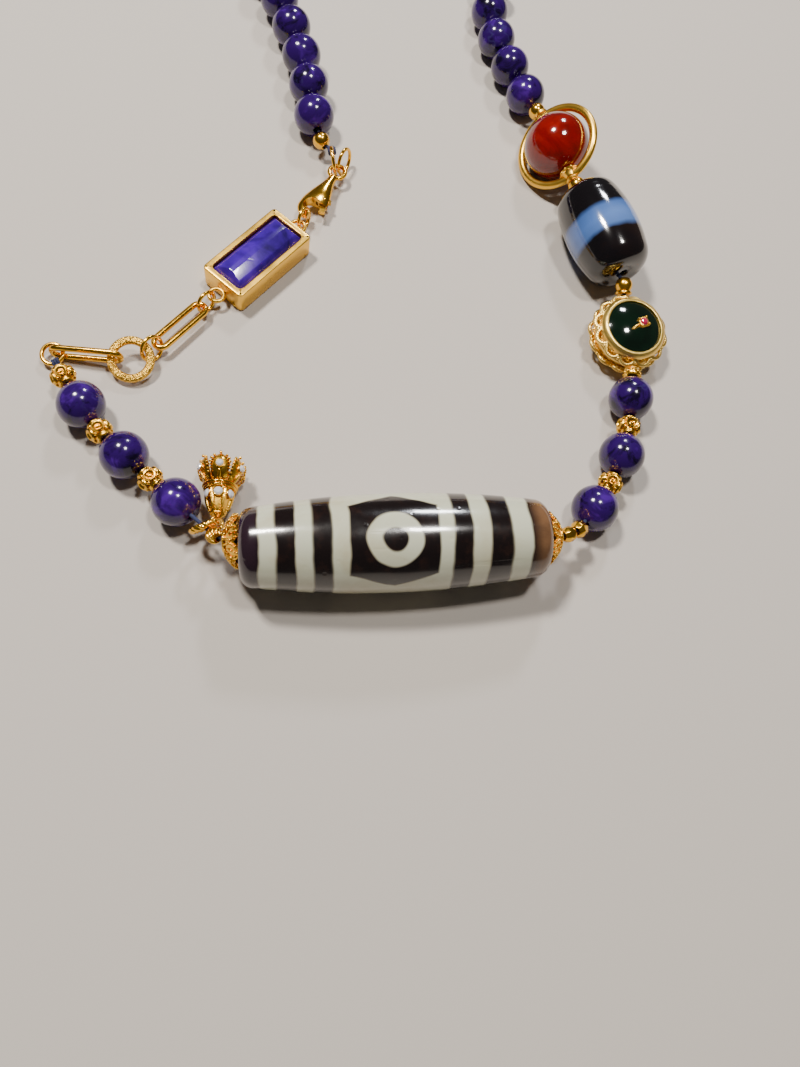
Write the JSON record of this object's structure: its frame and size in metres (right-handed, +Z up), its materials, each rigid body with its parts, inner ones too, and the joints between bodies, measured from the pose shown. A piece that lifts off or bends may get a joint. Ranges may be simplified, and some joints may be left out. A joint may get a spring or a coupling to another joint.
{
  "type": "bead necklace",
  "caption": "Lapis bead necklace lying closed, with a banded agate barrel bead at the front, gold caps, links, a set stone link, a medallion and a small gold charm",
  "frame": {"origin": "the middle of the necklace's footprint, on the surface that it lies on", "axes": "+X along the dzi bead from its left end to its right end as worn face up, +Y from the dzi bead towards the back of the loop, +Z up"},
  "size_m": [0.084, 0.1812, 0.0119],
  "materials": {
    "gold": "polished yellow gold",
    "lapis": "polished",
    "thread": "twisted",
    "violet_stone": "polished",
    "clear_stones": "faceted",
    "banded_agate": "polished, with pale bands",
    "green_stone": "polished",
    "ruby": "faceted",
    "red_stone": "polished"
  },
  "bodies": {
    "necklace": {"lapis_string_left": "lapis", "gold_ball_left": "gold", "thread": "thread", "clasp_ring_a": "gold", "clasp_ring_b": "gold", "clasp_body": "gold", "claw_ring": "gold", "bezel_link": "gold", "bezel_stone": "violet_stone", "bezel_ring": "gold", "paperclip_link": "gold", "chain_ring": "gold", "textured_ring": "gold", "edge_link": "gold", "end_ring": "gold", "spacer_left_1": "gold", "spacer_left_2": "gold", "spacer_left_3": "gold", "lapis_left_1": "lapis", "lapis_left_2": "lapis", "lapis_left_3": "lapis", "charm_loop": "gold", "charm": "gold", "charm_stones": "clear_stones", "ribbed_gold_bead": "gold", "dzi_cap_left": "gold", "dzi_bead": "banded_agate", "dzi_cap_right": "gold", "faceted_bead_1": "gold", "faceted_bead_2": "gold", "lapis_right_1": "lapis", "lapis_right_2": "lapis", "lapis_right_3": "lapis", "spacer_right_1": "gold", "spacer_right_2": "gold", "rondelle": "gold", "medallion_frame": "gold", "medallion_stone": "green_stone", "ruby_setting": "gold", "ruby": "ruby", "gold_bead_lower": "gold", "barrel_bead": "banded_agate", "gold_bead_upper": "gold", "bead_frame": "gold", "red_bead": "red_stone", "gold_ball_right": "gold", "lapis_string_right": "lapis"},
    "clasp_lever": {"clasp_lever": "gold"}
  },
  "joints": [
    {"name": "clasp_lever_hinge", "type": "hinge", "parent": "necklace", "child": "clasp_lever", "pos_m": [-0.00383, -0.03049, 0.00187], "axis": [0, 0, 1], "range_deg": [-20, 0], "stiffness_Nm_per_rad": 0.003, "springref_deg": 5.73}
  ]
}
